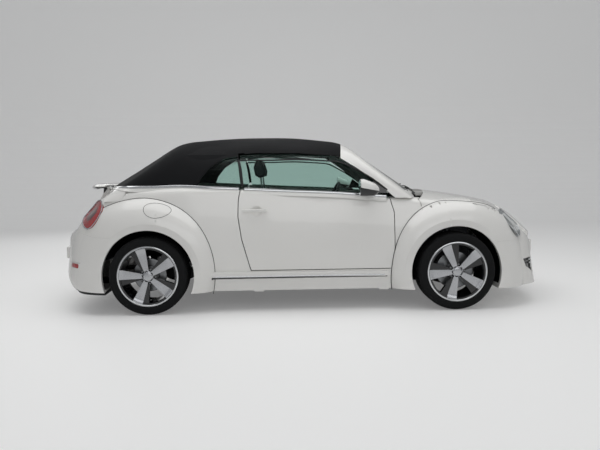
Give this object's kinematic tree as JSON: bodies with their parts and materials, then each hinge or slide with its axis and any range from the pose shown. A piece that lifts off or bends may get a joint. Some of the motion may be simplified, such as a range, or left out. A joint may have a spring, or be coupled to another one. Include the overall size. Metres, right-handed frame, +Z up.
{
  "type": "two-door soft-top roadster car",
  "caption": "Rounded two-door convertible car with a raised cloth hood, arched wings, opening doors, bonnet and boot lid, steering and rolling wheels.",
  "frame": {"origin": "middle of the car's box, on the ground under the tyres", "axes": "+X forward, +Y to the car's left, +Z up"},
  "size_m": [4.278, 2.022, 1.4737],
  "materials": {
    "white_paint": "gloss",
    "tinted_glass": "clear",
    "lamp_lens": "clear",
    "tail_lens": "gloss",
    "black_cloth": "woven",
    "seat_leather": "grained",
    "black_plastic": "grained",
    "tyre": "matt",
    "alloy": "machined",
    "dark_steel": "satin"
  },
  "bodies": {
    "car_body": {"cowl_panel": "black_plastic", "dashboard": "black_plastic", "engine_block": "dark_steel", "exhaust": "dark_steel", "floor_pan": "dark_steel", "front_bumper": "white_paint", "front_grille": "black_plastic", "front_subframe": "dark_steel", "front_wing_left": "white_paint", "front_wing_right": "white_paint", "headlamp_left": "lamp_lens", "headlamp_right": "lamp_lens", "intake_left": "black_plastic", "intake_right": "black_plastic", "quarter_glass_left": "tinted_glass", "quarter_glass_right": "tinted_glass", "rear_axle": "dark_steel", "rear_bumper": "white_paint", "rear_quarter_left": "white_paint", "rear_quarter_right": "white_paint", "rear_window": "tinted_glass", "seat_front_left": "seat_leather", "seat_front_right": "seat_leather", "seat_rear": "seat_leather", "sill_left": "white_paint", "sill_right": "white_paint", "sill_strip_left": "white_paint", "sill_strip_right": "white_paint", "soft_top": "black_cloth", "tail_lamp_left": "tail_lens", "tail_lamp_right": "tail_lens", "tonneau_panel": "black_plastic", "windscreen": "tinted_glass", "windscreen_frame": "white_paint"},
    "door_left_body": {"door_left": "white_paint", "door_glass_left": "tinted_glass", "mirror_left": "white_paint"},
    "steering_left": {"knuckle_left": "dark_steel"},
    "wheel_front_left_body": {"wheel_front_left": "alloy", "tyre_front_left": "tyre"},
    "wheel_rear_left_body": {"wheel_rear_left": "alloy", "tyre_rear_left": "tyre"},
    "door_right_body": {"door_right": "white_paint", "door_glass_right": "tinted_glass", "mirror_right": "white_paint"},
    "steering_right": {"knuckle_right": "dark_steel"},
    "wheel_front_right_body": {"wheel_front_right": "alloy", "tyre_front_right": "tyre"},
    "wheel_rear_right_body": {"wheel_rear_right": "alloy", "tyre_rear_right": "tyre"},
    "bonnet_body": {"bonnet": "white_paint"},
    "boot_lid_body": {"boot_lid": "white_paint", "spoiler": "white_paint"},
    "steering_wheel_body": {"steering_wheel": "black_plastic"}
  },
  "joints": [
    {"name": "door_left_hinge", "type": "hinge", "parent": "car_body", "child": "door_left_body", "pos_m": [0.697, 0.789, 0.5], "axis": [0, 0, -1], "range_deg": [0, 66]},
    {"name": "door_right_hinge", "type": "hinge", "parent": "car_body", "child": "door_right_body", "pos_m": [0.697, -0.789, 0.5], "axis": [0, 0, 1], "range_deg": [0, 66]},
    {"name": "steer_left", "type": "hinge", "parent": "car_body", "child": "steering_left", "pos_m": [1.2585, 0.745, 0.204], "axis": [-0.035, -0.2308, 0.9724], "range_deg": [-35, 35]},
    {"name": "steer_right", "type": "hinge", "parent": "car_body", "child": "steering_right", "pos_m": [1.2585, -0.745, 0.204], "axis": [-0.035, 0.2308, 0.9724], "range_deg": [-35, 35]},
    {"name": "steering_wheel_turn", "type": "hinge", "parent": "car_body", "child": "steering_wheel_body", "pos_m": [0.33, 0.36, 0.868], "axis": [-0.9135, 0, 0.4067], "range_deg": [-525, 525]},
    {"name": "wheel_front_left_spin", "type": "hinge", "parent": "steering_left", "child": "wheel_front_left_body", "pos_m": [1.2585, 0.789, 0.322], "axis": [0, 1, 0], "continuous": true},
    {"name": "wheel_rear_left_spin", "type": "hinge", "parent": "car_body", "child": "wheel_rear_left_body", "pos_m": [-1.2785, 0.772, 0.322], "axis": [0, 1, 0], "continuous": true},
    {"name": "wheel_front_right_spin", "type": "hinge", "parent": "steering_right", "child": "wheel_front_right_body", "pos_m": [1.2585, -0.789, 0.322], "axis": [0, 1, 0], "continuous": true},
    {"name": "wheel_rear_right_spin", "type": "hinge", "parent": "car_body", "child": "wheel_rear_right_body", "pos_m": [-1.2785, -0.772, 0.322], "axis": [0, 1, 0], "continuous": true},
    {"name": "bonnet_hinge", "type": "hinge", "parent": "car_body", "child": "bonnet_body", "pos_m": [1.0225, 0, 0.935], "axis": [0, -1, 0], "range_deg": [0, 50]},
    {"name": "boot_lid_hinge", "type": "hinge", "parent": "car_body", "child": "boot_lid_body", "pos_m": [-1.693, 0, 1.04], "axis": [0, 1, 0], "range_deg": [0, 60]}
  ],
  "couplings": [
    {"joint": "steer_right", "follows": "steer_left", "ratio": 1},
    {"joint": "steering_wheel_turn", "follows": "steer_left", "ratio": 15}
  ]
}
